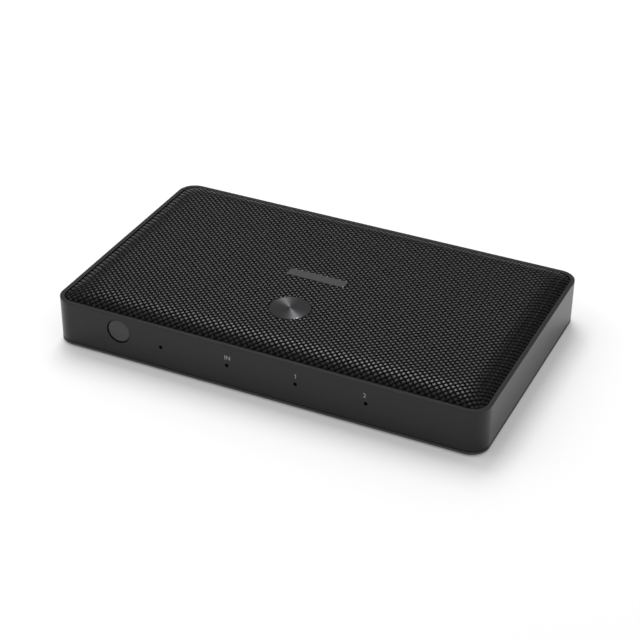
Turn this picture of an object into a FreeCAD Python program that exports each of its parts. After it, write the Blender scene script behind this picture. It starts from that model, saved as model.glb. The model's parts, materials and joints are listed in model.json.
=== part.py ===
"""Video splitter: one input, two outputs, in a flat case with a crowned cloth top.

Frame: millimetres, +Z up, +X along the front from left to right, the front faces -Y. The origin is at the
middle of the footprint, on the surface that the feet stand on.
"""
import FreeCAD, Part
import os
import re
import Sketcher

Vector = FreeCAD.Vector

# Driving dimensions, in millimetres. Counts and shares are plain numbers.
SIZES = {
    # case
    "length": 150.0,
    "depth": 90.8,
    "corner_radius": 6.2,
    "foot_proud": 0.5,
    "cover_edge": 1.2,
    "cover_floor": 1.8,
    "cover_chamfer": 0.3,
    "seam_gap": 0.2,
    "rim_height": 16.1,
    "rim_chamfer": 0.45,
    "wall": 1.5,
    "lip_height": 1.7,
    "lip_wall": 1.2,
    "lip_gap": 0.15,
    "ledge_width": 2.4,
    "ledge_depth": 1.2,
    # crowned top: panel and the cloth bonded to it
    "crown_rise": 2.65,
    "crown_drop": 2.87,
    "crown_power": 2.4,
    "roll_width": 9.0,
    "corner_ease": 0.35,
    "skirt_height": 1.2,
    "cloth": 0.5,
    "panel_wall": 1.6,
    "panel_rim": 6.5,
    "panel_gap": 0.15,
    "hook_across": 6.0,
    "hook_thick": 1.2,
    "hook_root": 0.4,
    "hook_inset": 17.0,
    "hook_bite": 0.6,
    "hook_gap": 0.1,
    "barb_height": 1.0,
    # corner fastenings and feet
    "boss_inset": 8.9,
    "boss_half": 3.0,
    "boss_plate": 12.0,
    "case_pilot": 1.2,
    "case_hole": 1.4,
    "case_shank": 1.15,
    "case_shank_length": 6.5,
    "case_head": 2.3,
    "case_head_gap": 0.05,
    "foot_half": 4.8,
    # vents in the bottom cover
    "vent_count": 9,
    "vent_pitch": 4.5,
    "vent_across": 1.8,
    "vent_run": 26.0,
    "vent_middle_x": 8.0,
    "vent_middle_y": 2.0,
    # circuit board and its fastenings
    "board_thick": 1.6,
    "board_side_gap": 1.1,
    "board_front_gap": 0.55,
    "board_back_gap": 0.15,
    "standoff_height": 2.4,
    "standoff_half": 2.6,
    "standoff_side": 5.0,
    "standoff_end": 14.0,
    "board_pilot": 0.95,
    "board_hole": 1.4,
    "board_shank": 0.9,
    "board_shank_length": 3.4,
    "board_head": 1.9,
    "board_head_height": 1.2,
    # connectors in the back
    "port_first": -35.0,
    "port_pitch": 23.87,
    "port_height": 3.0,
    "port_recess": 0.3,
    "port_clear": 0.3,
    "socket_half": 7.45,
    "socket_rise": 2.72,
    "socket_chamfer": 1.9,
    "socket_sheet": 0.4,
    "socket_length": 11.0,
    "socket_block": 4.5,
    "socket_heel": 2.0,
    "socket_fit": 0.05,
    "tongue_half": 5.1,
    "tongue_rise": 0.6,
    "tongue_recess": 1.2,
    "contact_pitch": 1.0,
    "contact_across": 0.45,
    "contact_thick": 0.15,
    "leg_thick": 0.4,
    "leg_across": 1.6,
    "leg_below": 0.6,
    "leg_gap": 0.15,
    "leg_front": 4.0,
    "leg_back": 8.2,
    "jack_half": 4.5,
    "jack_rise": 4.5,
    "jack_length": 12.7,
    "jack_back_wall": 2.0,
    "jack_window": 3.9,
    "jack_bore": 3.1,
    "jack_pin": 1.05,
    "jack_pin_recess": 0.9,
    "jack_wall_gap": 0.2,
    "leaf_reach": 5.7,
    "leaf_half": 1.0,
    "leaf_thick": 0.3,
    "leaf_room": 0.9,
    "leaf_side_gap": 0.2,
    # indicator lamps in the front
    "lamp_z": 9.25,
    "lamp_hole": 0.6,
    "lamp_long": 2.0,
    "lamp_deep": 1.2,
    "lamp_high": 0.8,
    "lamp_setback": 3.0,
    "pipe_nib": 0.4,
    "pipe_recess": 0.8,
    "pipe_above": 0.8,
    "pipe_gap": 0.1,
    # round button in the top
    "select_x": -1.2,
    "select_y": -20.3,
    "select_radius": 6.85,
    "select_gap": 0.15,
    "select_proud": 0.15,
    "select_chamfer": 0.65,
    "select_stem_half": 2.0,
    "select_travel": 0.6,
    "select_stop_gap": 0.1,
    "select_flange": 8.0,
    "select_flange_thick": 1.0,
    "switch_half": 3.0,
    "switch_height": 3.5,
    "switch_floor": 1.2,
    "switch_peg_half": 1.5,
    "switch_peg_proud": 1.5,
    "switch_peg_gap": 0.12,
    "switch_room": 0.3,
    # round button in the front
    "power_inset": 24.5,
    "power_z": 10.9,
    "power_radius": 4.0,
    "power_gap": 0.25,
    "power_recess": 0.3,
    "power_chamfer": 0.2,
    "power_travel": 0.4,
    "power_stop_gap": 0.15,
    "power_bar_half": 5.6,
    "power_bar_rise": 2.5,
    "power_bar_thick": 0.8,
    "power_bar_lap": 0.2,
    "power_stem_half": 1.3,
    "power_stem_length": 2.2,
    "power_peg_half": 1.1,
    "power_peg_length": 2.8,
    "power_peg_proud": 1.2,
    "power_switch_half": 3.1,
    "power_switch_rise": 3.0,
    "power_switch_deep": 4.0,
    # blank nameplate
    "plate_x": -1.4,
    "plate_y": 0.6,
    "plate_long": 21.0,
    "plate_deep": 4.0,
    "plate_proud": 0.1,
    "plate_gap": 0.15,
    # parts on the board
    "chip_x": 9.0,
    "chip_y": 6.0,
    "chip_half": 7.0,
    "chip_high": 0.9,
    "pad_half": 6.0,
    "pad_high": 0.5,
    "sink_half": 10.0,
    "sink_base": 1.5,
    "sink_high": 6.5,
    "fin_thick": 0.9,
    "fin_count": 7,
    "input_chip_x": -14.0,
    "input_chip_y": 18.0,
    "input_chip_long": 7.0,
    "input_chip_deep": 7.0,
    "input_chip_high": 0.9,
    "control_chip_x": 34.0,
    "control_chip_y": -14.0,
    "control_chip_long": 9.0,
    "control_chip_deep": 9.0,
    "control_chip_high": 1.2,
    "memory_chip_x": 47.0,
    "memory_chip_y": -14.0,
    "memory_chip_long": 5.0,
    "memory_chip_deep": 4.0,
    "memory_chip_high": 1.5,
    "regulator_x": -41.0,
    "regulator_y": 8.0,
    "regulator_long": 6.4,
    "regulator_deep": 3.6,
    "regulator_high": 1.6,
    "crystal_x": 33.0,
    "crystal_y": 2.0,
    "crystal_long": 5.0,
    "crystal_deep": 3.2,
    "crystal_high": 1.1,
    "coil_x": -28.0,
    "coil_y": 8.0,
    "coil_half": 3.6,
    "coil_round": 4.5,
    "coil_high": 4.0,
    "can_x": -52.0,
    "can_y": 20.0,
    "can_radius": 3.15,
    "can_high": 5.8,
    "can_pitch": 9.0,
    "can_count": 2,
    "ceramic_x": -8.0,
    "ceramic_y": 25.0,
    "ceramic_long": 1.0,
    "ceramic_deep": 1.6,
    "ceramic_high": 0.8,
    "ceramic_pitch": 3.0,
    "ceramic_count": 12,
}

# Places and widths worked out from the driving dimensions.
PLACES = {
    "half_long": "length / 2",
    "half_deep": "depth / 2",
    "cover_bottom": "foot_proud",
    "edge_top": "cover_bottom + cover_edge",
    "floor_top": "cover_bottom + cover_floor",
    "frame_bottom": "edge_top + seam_gap",
    "rim_top": "cover_bottom + rim_height",
    "crown_top": "rim_top + crown_rise",
    "crown_edge": "crown_top - crown_drop",
    "ledge_top": "crown_edge - skirt_height",
    "ledge_bottom": "ledge_top - ledge_depth",
    "inner_long": "half_long - wall",
    "inner_deep": "half_deep - wall",
    "inner_radius": "corner_radius - wall",
    "panel_top": "crown_top - cloth",
    "panel_under": "panel_top - panel_wall",
    "boss_x": "half_long - boss_inset",
    "boss_y": "half_deep - boss_inset",
    "hook_spacing": "half_long - hook_inset",
    "lip_inner": "inner_deep - lip_gap - lip_wall",
    "case_head_face": "cover_bottom + case_head_gap",
    "case_tip": "floor_top + case_shank_length",
    "board_half": "boss_x - boss_half - board_side_gap",
    "board_front": "board_front_gap - lip_inner",
    "board_back": "lip_inner - board_back_gap",
    "standoff_x": "board_half - standoff_side",
    "standoff_front": "board_front + standoff_end",
    "standoff_back": "board_back - standoff_end",
    "board_bottom": "floor_top + standoff_height",
    "board_top": "board_bottom + board_thick",
    "port_z": "board_top + port_height",
    "port_mouth": "half_deep - port_recess",
    "port_rear": "port_mouth - socket_length",
    "shell_rear": "port_rear + socket_heel",
    "tongue_tip": "port_mouth - tongue_recess",
    "jack_front": "inner_deep - jack_wall_gap",
    "jack_rear": "jack_front - jack_length",
    "jack_floor": "jack_rear + jack_back_wall",
    "lamp_y": "-inner_deep + lamp_setback",
    "select_top": "crown_top + select_proud",
    "select_flange_top": "panel_under - select_stop_gap",
    "select_flange_bottom": "select_flange_top - select_flange_thick",
    "switch_top": "board_top + switch_height",
    "peg_top": "switch_top + switch_peg_proud",
    "power_x": "power_inset - half_long",
    "power_face": "-half_deep + power_recess",
    "power_bar_front": "-inner_deep + power_stop_gap",
    "power_bar_back": "power_bar_front + power_bar_thick",
    "power_stem_end": "power_bar_back + power_stem_length",
    "power_switch_front": "power_stem_end + power_peg_proud",
    "power_switch_back": "power_switch_front + power_switch_deep",
    "plate_top": "crown_top + plate_proud",
    "pad_bottom": "board_top + chip_high",
    "sink_bottom": "pad_bottom + pad_high",
}

# Heights of the crown's cross sections, as shares of the roll from its edge in to its flat.
CROWN_SHARES = ("0", "0.15", "0.35", "0.62", "1")

# Edges within this distance of a level count as lying on it.
LEVEL_TOLERANCE = 1e-4

doc = FreeCAD.newDocument("video_splitter")
sizes = doc.addObject("Spreadsheet::Sheet", "Sizes")
places = doc.addObject("Spreadsheet::Sheet", "Places")
SPARE_CELL = "D1"
parts = []


def prefixed(text, own_places=False):
    """The formula with each size or place led by the name of the sheet that holds it."""

    def lead(word):
        name = word.group()
        if name in SIZES:
            return "Sizes." + name
        if name in PLACES and not own_places:
            return "Places." + name
        return name

    return re.sub(r"[a-z][a-z0-9_]*", lead, text)


def number(text):
    """The formula's value, worked out in a spare cell."""
    places.set(SPARE_CELL, "=" + prefixed(text, own_places=True))
    places.recompute()
    return float(places.get(SPARE_CELL))


def fill_sheets():
    for row, (name, value) in enumerate(SIZES.items(), start=1):
        sizes.set(f"A{row}", name)
        sizes.set(f"B{row}", str(value))
        sizes.setAlias(f"B{row}", name)
    doc.recompute()
    for row, (name, formula) in enumerate(PLACES.items(), start=1):
        places.set(f"A{row}", name)
        places.set(f"B{row}", "=" + prefixed(formula, own_places=True))
        places.setAlias(f"B{row}", name)
    doc.recompute()


def bind(item, prop, text):
    item.setExpression(prop, prefixed(text))


# Outlines. Each returns a function that draws one closed outline in a sketch, bound to the sheets.
def pinned(geometry, point, across, up):
    """Two constraints that hold a point at formulas of its own, with their formulas."""
    return [
        (Sketcher.Constraint("DistanceX", -1, 1, geometry, point, number(across)), across),
        (Sketcher.Constraint("DistanceY", -1, 1, geometry, point, number(up)), up),
    ]


def constrain(sketch, rules):
    """Adds (constraint, formula or None) pairs, each with its formula."""
    indices = sketch.addConstraint([rule for rule, formula in rules])
    for index, (rule, formula) in zip(indices, rules):
        if formula is not None:
            sketch.setExpression(f"Constraints[{index}]", prefixed(formula))


def circle(across, up, radius):
    def draw(sketch):
        centre = Vector(number(across), number(up), 0)
        ring = sketch.addGeometry(Part.Circle(centre, Vector(0, 0, 1), number(radius)), False)
        rules = pinned(ring, 3, across, up)
        rules.append((Sketcher.Constraint("Radius", ring, number(radius)), radius))
        constrain(sketch, rules)

    return draw


def polygon(corners):
    def draw(sketch):
        points = [Vector(number(across), number(up), 0) for across, up in corners]
        ends = points[1:] + points[:1]
        sides = sketch.addGeometry([Part.LineSegment(a, b) for a, b in zip(points, ends)], False)
        rules = []
        for side, (across, up) in zip(sides, corners):
            rules += pinned(side, 1, across, up)
        for side, after in zip(sides, sides[1:] + sides[:1]):
            rules.append((Sketcher.Constraint("Coincident", side, 2, after, 1), None))
        constrain(sketch, rules)

    return draw


def rectangle(left, right, low, high):
    return polygon([(left, low), (right, low), (right, high), (left, high)])


def block(across, up, half_across, half_up):
    """A rectangle by its middle and half widths."""
    left, right = f"{across} - ({half_across})", f"{across} + {half_across}"
    return rectangle(left, right, f"{up} - ({half_up})", f"{up} + {half_up}")


def rounded(half_across, half_up, radius):
    """A rectangle about the sketch's origin with four round corners, counter-clockwise from lower left."""
    a, b, r = f"({half_across})", f"({half_up})", f"({radius})"
    runs = [
        ((f"-{a} + {r}", f"-{b}"), (f"{a} - {r}", f"-{b}")),
        ((a, f"-{b} + {r}"), (a, f"{b} - {r}")),
        ((f"{a} - {r}", b), (f"-{a} + {r}", b)),
        ((f"-{a}", f"{b} - {r}"), (f"-{a}", f"-{b} + {r}")),
    ]

    def draw(sketch):
        half_x, half_y, bend = number(half_across), number(half_up), number(radius)
        turn = bend * (1 - 0.5**0.5)
        knees = [(half_x, -half_y), (half_x, half_y), (-half_x, half_y), (-half_x, -half_y)]
        shapes = []
        for index, (start, end) in enumerate(runs):
            begin = Vector(number(start[0]), number(start[1]), 0)
            finish = Vector(number(end[0]), number(end[1]), 0)
            after = runs[(index + 1) % 4][0]
            resume = Vector(number(after[0]), number(after[1]), 0)
            knee_x, knee_y = knees[index]
            inward_x = -turn if knee_x > 0 else turn
            inward_y = -turn if knee_y > 0 else turn
            middle = Vector(knee_x + inward_x, knee_y + inward_y, 0)
            shapes += [Part.LineSegment(begin, finish), Part.Arc(finish, middle, resume)]
        indices = sketch.addGeometry(shapes, False)
        rules = []
        for index, (start, end) in enumerate(runs):
            line, arc, next_line = indices[2 * index], indices[2 * index + 1], indices[(2 * index + 2) % 8]
            rules += pinned(line, 1, *start) + pinned(line, 2, *end)
            rules.append((Sketcher.Constraint("Tangent", line, 2, arc, 1), None))
            rules.append((Sketcher.Constraint("Coincident", arc, 2, next_line, 1), None))
        constrain(sketch, rules)

    return draw


# Bodies and their features. A prism runs from a low to a high level along its plane's own axis.
def new_body(name):
    body = doc.addObject("PartDesign::Body", name)
    body.Label = name
    parts.append(body)
    return body


def origin_item(body, role):
    return next(item for item in body.Origin.OriginFeatures if item.Role == role)


def sketch_on(body, plane, level, outlines):
    sketch = body.newObject("Sketcher::SketchObject", body.Name + "_sketch")
    sketch.AttachmentSupport = [(origin_item(body, plane + "_Plane"), "")]
    sketch.MapMode = "FlatFace"
    bind(sketch, "AttachmentOffset.Base.z", f"-({level})" if plane == "XZ" else level)
    for draw in outlines:
        draw(sketch)
    return sketch


def prism(body, kind, plane, low, high, outlines):
    feature = body.newObject("PartDesign::" + kind, body.Name + "_" + kind.lower())
    feature.Profile = sketch_on(body, plane, low, outlines)
    bind(feature, "Length", f"({high}) - ({low})")
    feature.Reversed = (plane == "XZ") == (kind == "Pad")
    return feature


def pad(body, plane, low, high, *outlines):
    return prism(body, "Pad", plane, low, high, outlines)


def pocket(body, plane, low, high, *outlines):
    return prism(body, "Pocket", plane, low, high, outlines)


def turned(body, plane, corners):
    """A solid of revolution about the sketch's upright axis, from (radius, height) corners."""
    feature = body.newObject("PartDesign::Revolution", body.Name + "_revolution")
    feature.Profile = sketch_on(body, plane, "0", [polygon(corners)])
    feature.ReferenceAxis = (feature.Profile[0], ["V_Axis"])
    feature.Angle = 360
    return feature


def repeated(body, feature, axis, spacing, count):
    """Copies of a feature in a row, the first one where the feature is."""
    pattern = body.newObject("PartDesign::LinearPattern", body.Name + "_row")
    pattern.Originals = [feature]
    pattern.Direction = (origin_item(body, axis + "_Axis"), [""])
    bind(pattern, "Length", f"({spacing}) * ({count} - 1)")
    bind(pattern, "Occurrences", count)
    body.Tip = pattern
    return pattern


def at_level(span, level):
    return abs(span.ZMin - level) < LEVEL_TOLERANCE and abs(span.ZMax - level) < LEVEL_TOLERANCE


def on_outline(edge):
    """Does this edge reach the case's outer outline?"""
    span = edge.BoundBox
    reach = number("wall") / 2
    wide = max(abs(span.XMin), abs(span.XMax)) > number("half_long") - reach
    deep = max(abs(span.YMin), abs(span.YMax)) > number("half_deep") - reach
    return wide or deep


def on_screw_hole(edge):
    """Is this edge the rim of a case screw's hole?"""
    return abs(edge.BoundBox.XLength - 2 * number("case_hole")) < LEVEL_TOLERANCE


def eased(body, kind, prop, amount, height, chosen):
    """A chamfer or fillet on the chosen edges at one height."""
    doc.recompute()
    base, level = body.Tip, number(height)
    names = []
    for index, edge in enumerate(base.Shape.Edges, start=1):
        if at_level(edge.BoundBox, level) and chosen(edge):
            names.append(f"Edge{index}")
    feature = body.newObject("PartDesign::" + kind, f"{body.Name}_{kind.lower()}")
    feature.Base = (base, names)
    bind(feature, prop, amount)


def place(item, across="0", along="0", up="0"):
    for axis, text in zip("xyz", (across, along, up)):
        bind(item, "Placement.Base." + axis, text)


def box(name, left, right, front, back, low, high):
    item = doc.addObject("Part::Box", name)
    bind(item, "Length", f"({right}) - ({left})")
    bind(item, "Width", f"({back}) - ({front})")
    bind(item, "Height", f"({high}) - ({low})")
    place(item, left, front, low)
    return item


def upright(name, across, along, low, high, radius):
    item = doc.addObject("Part::Cylinder", name)
    bind(item, "Radius", radius)
    bind(item, "Height", f"({high}) - ({low})")
    place(item, across, along, low)
    return item


def joined(kind, name, base, tool):
    item = doc.addObject("Part::" + kind, name)
    item.Base, item.Tool = base, tool
    return item


def group(name, items):
    """Separate solids that share one node."""
    item = doc.addObject("Part::Compound", name)
    item.Links = items
    return finished(item)


def finished(item):
    item.Label = item.Name
    parts.append(item)
    return item


def at_corners(across, along):
    return [(sx + across, sy + along) for sx in ("-", "") for sy in ("-", "")]


def post_spots(along):
    return [("-standoff_x", along), ("standoff_x", along)]


# Case
def outline(inset="0"):
    """The case's rounded outline, drawn in by an inset."""
    return rounded(f"half_long - ({inset})", f"half_deep - ({inset})", f"corner_radius - ({inset})")


def port_x(index):
    return f"port_first + port_pitch * {index}"


def side_frame():
    body = new_body("side_frame")
    pad(body, "XY", "frame_bottom", "rim_top", outline())
    pocket(body, "XY", "ledge_top", "rim_top + wall", outline("wall"))
    pocket(body, "XY", "frame_bottom - wall", "ledge_bottom", outline("wall"))
    inset = "wall + ledge_width"
    through = rounded(f"half_long - ({inset})", f"half_deep - ({inset})", "inner_radius")
    pocket(body, "XY", "ledge_bottom - wall", "ledge_top + wall", through)
    corner_plates = []
    for sx in ("-", ""):
        for sy in ("-", ""):
            near, far = (f"{sx}(inner_long - {width})" for width in ("boss_plate", "ledge_width / 2"))
            close, out = (f"{sy}(inner_deep - {width})" for width in ("boss_plate", "ledge_width / 2"))
            across = (far, near) if sx else (near, far)
            along = (out, close) if sy else (close, out)
            corner_plates.append(rectangle(*across, *along))
    pad(body, "XY", "ledge_bottom", "ledge_top", *corner_plates)
    spots = at_corners("boss_x", "boss_y")
    pad(body, "XY", "floor_top", "ledge_bottom", *[block(x, y, "boss_half", "boss_half") for x, y in spots])
    pilots = [circle(x, y, "case_pilot") for x, y in spots]
    pocket(body, "XY", "floor_top - wall", "case_tip + wall", *pilots)
    # windows in the back for the sockets, and a round one for the power plug
    windows = []
    for index in (1, 2, 3):
        windows.append(block(port_x(index), "port_z", "socket_half + port_clear", "socket_rise + port_clear"))
    windows.append(circle(port_x(0), "port_z", "jack_window"))
    pocket(body, "XZ", "inner_deep - wall", "half_deep + wall", *windows)
    # lamp pinholes and the button's bore in the front, with room in the ledge for its travel
    pinholes = [circle(port_x(index), "lamp_z", "lamp_hole") for index in range(4)]
    pocket(body, "XZ", "-half_deep - wall", "-inner_deep", *pinholes)
    bore = circle("power_x", "power_z", "power_radius + power_gap")
    notch_end = "power_bar_front + power_travel + power_gap"
    pocket(body, "XZ", "-half_deep - wall", notch_end, bore)
    eased(body, "Chamfer", "Size", "rim_chamfer", "rim_top", on_outline)
    return body


def bottom_cover():
    body = new_body("bottom_cover")
    pad(body, "XY", "cover_bottom", "edge_top", outline())
    pad(body, "XY", "cover_bottom", "floor_top", outline("wall + lip_gap"))
    pad(body, "XY", "floor_top", "floor_top + lip_height", outline("wall + lip_gap"))
    pocket(body, "XY", "floor_top", "floor_top + lip_height + wall", outline("wall + lip_gap + lip_wall"))
    # four posts under the board, the two at the front with pilot holes for its screws
    posts = post_spots("standoff_front") + post_spots("standoff_back")
    pad(body, "XY", "edge_top", "board_bottom", *[block(x, y, "standoff_half", "standoff_half") for x, y in posts])
    pilots = [circle(x, y, "board_pilot") for x, y in post_spots("standoff_front")]
    pocket(body, "XY", "edge_top", "board_bottom + wall", *pilots)
    first = "vent_middle_x - vent_pitch * (vent_count - 1) / 2"
    slot = block(first, "vent_middle_y", "vent_across / 2", "vent_run / 2")
    vent = pocket(body, "XY", "cover_bottom - wall", "floor_top + wall", slot)
    repeated(body, vent, "X", "vent_pitch", "vent_count")
    # screw holes at the corners, countersunk from below
    holes = [circle(x, y, "case_hole") for x, y in at_corners("boss_x", "boss_y")]
    pocket(body, "XY", "cover_bottom - wall", "floor_top + wall", *holes)
    sink = "case_head + case_head_gap * 2 - case_hole"
    eased(body, "Chamfer", "Size", sink, "cover_bottom", on_screw_hole)
    eased(body, "Chamfer", "Size", "cover_chamfer", "cover_bottom", on_outline)
    return body


def crown_sections(body, inset, lower, bottom):
    """Rounded outlines that step up from the skirt's foot over the roll to the flat."""
    gap = f"panel_gap + ({inset})"
    base = rounded(f"inner_long - ({gap})", f"inner_deep - ({gap})", f"inner_radius - ({gap})")
    sections = [sketch_on(body, "XY", bottom, [base])]
    for share in CROWN_SHARES:
        draw = f"{gap} + roll_width * {share}"
        radius = f"inner_radius - ({gap}) + roll_width * {share} * corner_ease"
        level = f"crown_top - ({lower}) - crown_drop * (1 - {share}) ^ crown_power"
        shape = rounded(f"inner_long - ({draw})", f"inner_deep - ({draw})", radius)
        sections.append(sketch_on(body, "XY", level, [shape]))
    return sections


def crown(body, kind, inset, lower, bottom):
    """A crowned block, added or cut away: its section lies inset from the rim and lower than the cloth."""
    sections = crown_sections(body, inset, lower, bottom)
    feature = body.newObject("PartDesign::" + kind, body.Name + "_crown")
    feature.Profile = sections[0]
    feature.Sections = sections[1:]
    feature.Ruled = True
    return feature


def top_cloth():
    """Woven cloth over the crown and down the skirt, with cut-outs for the button and the nameplate."""
    body = new_body("top_cloth")
    crown(body, "AdditiveLoft", "0", "0", "ledge_top")
    crown(body, "SubtractiveLoft", "cloth", "cloth", "ledge_top")
    bore = circle("select_x", "select_y", "select_radius + select_gap")
    plate = block("plate_x", "plate_y", "(plate_long / 2 + plate_gap)", "(plate_deep / 2 + plate_gap)")
    pocket(body, "XY", "panel_top - cloth", "crown_top + cloth", bore, plate)
    return body


def top_panel():
    """A lid whose thick rim sits on the frame's ledge, hollowed flat inside the rim."""
    body = new_body("top_panel")
    crown(body, "AdditiveLoft", "cloth", "cloth", "ledge_top")
    rim = "panel_gap + cloth + panel_rim"
    hollow = rounded(f"inner_long - ({rim})", f"inner_deep - ({rim})", "corner_radius")
    pocket(body, "XY", "ledge_top - wall", "panel_under", hollow)
    # hooks that reach down inside the ledge and catch under it, three at the front and three at the back
    legs, barbs = [], []
    face = "inner_deep - ledge_width - hook_gap"
    for side in ("-", ""):
        for shift in ("-hook_spacing", "0", "hook_spacing"):
            near, far = f"{side}({face} - hook_thick)", f"{side}({face})"
            tip = f"{side}({face} + hook_bite)"
            spans = [(far, near), (tip, near)] if side else [(near, far), (near, tip)]
            left, right = f"{shift} - hook_across / 2", f"{shift} + hook_across / 2"
            legs.append(rectangle(left, right, *spans[0]))
            barbs.append(rectangle(left, right, *spans[1]))
    barb_top = "ledge_bottom - hook_gap"
    pad(body, "XY", barb_top, "crown_edge + hook_root", *legs)
    pad(body, "XY", f"{barb_top} - barb_height", barb_top, *barbs)
    bore = circle("select_x", "select_y", "select_radius + select_gap")
    pocket(body, "XY", "panel_under - wall", "panel_top + wall", bore)
    return body


def nameplate():
    body = new_body("nameplate")
    pad(body, "XY", "panel_top", "plate_top", block("plate_x", "plate_y", "plate_long / 2", "plate_deep / 2"))
    return body


def feet():
    """Flat square pads, cut from rubber sheet and stuck over the case screws."""
    names = ("foot_front_left", "foot_back_left", "foot_front_right", "foot_back_right")
    for name, (across, along) in zip(names, at_corners("boss_x", "boss_y")):
        body = new_body(name)
        pad(body, "XY", "0", "foot_proud", block("0", "0", "foot_half", "foot_half"))
        place(body, across, along)


def screw(name, spot, corners):
    """A screw turned from its half profile."""
    body = doc.addObject("PartDesign::Body", name)
    turned(body, "XZ", corners)
    place(body, *spot)
    return body


def screws():
    """Countersunk case screws that point up, and board screws with flat round heads that point down."""
    countersunk = [
        ("0", "case_head_face"),
        ("case_head", "case_head_face"),
        ("case_shank", "case_head_face + case_head - case_shank"),
        ("case_shank", "case_tip"),
        ("0", "case_tip"),
    ]
    spots = at_corners("boss_x", "boss_y")
    group("case_screws", [screw(f"case_screw_{i}", spot, countersunk) for i, spot in enumerate(spots, start=1)])
    flat_head = [
        ("0", "board_top - board_shank_length"),
        ("board_shank", "board_top - board_shank_length"),
        ("board_shank", "board_top"),
        ("board_head", "board_top"),
        ("board_head", "board_top + board_head_height"),
        ("0", "board_top + board_head_height"),
    ]
    spots = post_spots("standoff_front")
    group("board_screws", [screw(f"board_screw_{i}", spot, flat_head) for i, spot in enumerate(spots, start=1)])


# Circuit board and what stands on it
def leg_spots(index):
    """Where the shell's four legs go through the board."""
    side = "(socket_half - leg_thick / 2)"
    rows = ("port_mouth - leg_front", "port_mouth - leg_back")
    return [(f"{port_x(index)} {sign} {side}", row) for sign in "-+" for row in rows]


def main_board():
    body = new_body("main_board")
    notch_left = f"{port_x(0)} - jack_half - port_clear"
    notch_right = f"{port_x(0)} + jack_half + port_clear"
    notch_end = "jack_rear - port_clear"
    corners = [
        ("-board_half", "board_front"),
        ("board_half", "board_front"),
        ("board_half", "board_back"),
        (notch_right, "board_back"),
        (notch_right, notch_end),
        (notch_left, notch_end),
        (notch_left, "board_back"),
        ("-board_half", "board_back"),
    ]
    pad(body, "XY", "board_bottom", "board_top", polygon(corners))
    holes = [circle(x, y, "board_hole") for x, y in post_spots("standoff_front")]
    leg_slot = ("leg_thick / 2 + leg_gap", "leg_across / 2 + leg_gap")
    for index in (1, 2, 3):
        holes += [block(x, y, *leg_slot) for x, y in leg_spots(index)]
    pocket(body, "XY", "board_bottom - wall", "board_top + wall", *holes)
    return body


def socket_outline(inset):
    """A video socket's mouth: flat on top, its two lower corners cut off."""
    half, rise = f"(socket_half - {inset})", f"(socket_rise - {inset})"
    cut = f"(socket_chamfer - {inset} * (2 - 2 ^ 0.5))"
    return polygon(
        [
            (f"-{half}", rise),
            (f"-{half}", f"-{rise} + {cut}"),
            (f"-{half} + {cut}", f"-{rise}"),
            (f"{half} - {cut}", f"-{rise}"),
            (half, f"-{rise} + {cut}"),
            (half, rise),
        ]
    )


def video_socket(name, index):
    shell = new_body(name + "_shell")
    pad(shell, "XZ", "shell_rear", "port_mouth", socket_outline("0"))
    pocket(shell, "XZ", "shell_rear - wall", "port_mouth + wall", socket_outline("socket_sheet"))
    legs = []
    for sign in "-+":
        outer, inner = f"{sign}socket_half", f"{sign}(socket_half - leg_thick)"
        across = (outer, inner) if sign == "-" else (inner[1:], outer[1:])
        for row in ("port_mouth - leg_front", "port_mouth - leg_back"):
            legs.append(rectangle(*across, f"{row} - leg_across / 2", f"{row} + leg_across / 2"))
    pad(shell, "XY", "-port_height - board_thick - leg_below", "0", *legs)
    place(shell, port_x(index), "0", "port_z")

    insulator = new_body(name + "_insulator")
    heel = rectangle("-socket_half", "socket_half", "-port_height", "socket_rise")
    pad(insulator, "XZ", "port_rear", "shell_rear - socket_fit", heel)
    fitted = socket_outline("(socket_sheet + socket_fit)")
    pad(insulator, "XZ", "shell_rear - socket_fit * 2", "port_rear + socket_block", fitted)
    tongue = block("0", "0", "tongue_half", "tongue_rise")
    pad(insulator, "XZ", "port_rear + socket_block - socket_fit", "tongue_tip", tongue)
    place(insulator, port_x(index), "0", "port_z")

    strips = []
    rows = (("upper", 10, "port_z + tongue_rise", "port_z + tongue_rise + contact_thick"),)
    rows += (("lower", 9, "port_z - tongue_rise - contact_thick", "port_z - tongue_rise"),)
    for row, count, low, high in rows:
        for step in range(count):
            middle = f"{port_x(index)} + contact_pitch * {step - (count - 1) / 2}"
            left, right = f"{middle} - contact_across / 2", f"{middle} + contact_across / 2"
            front, back = "port_rear + socket_block", "tongue_tip - contact_across"
            strips.append(box(f"{name}_{row}_{step + 1}", left, right, front, back, low, high))
    group(name + "_contacts", strips)


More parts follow.
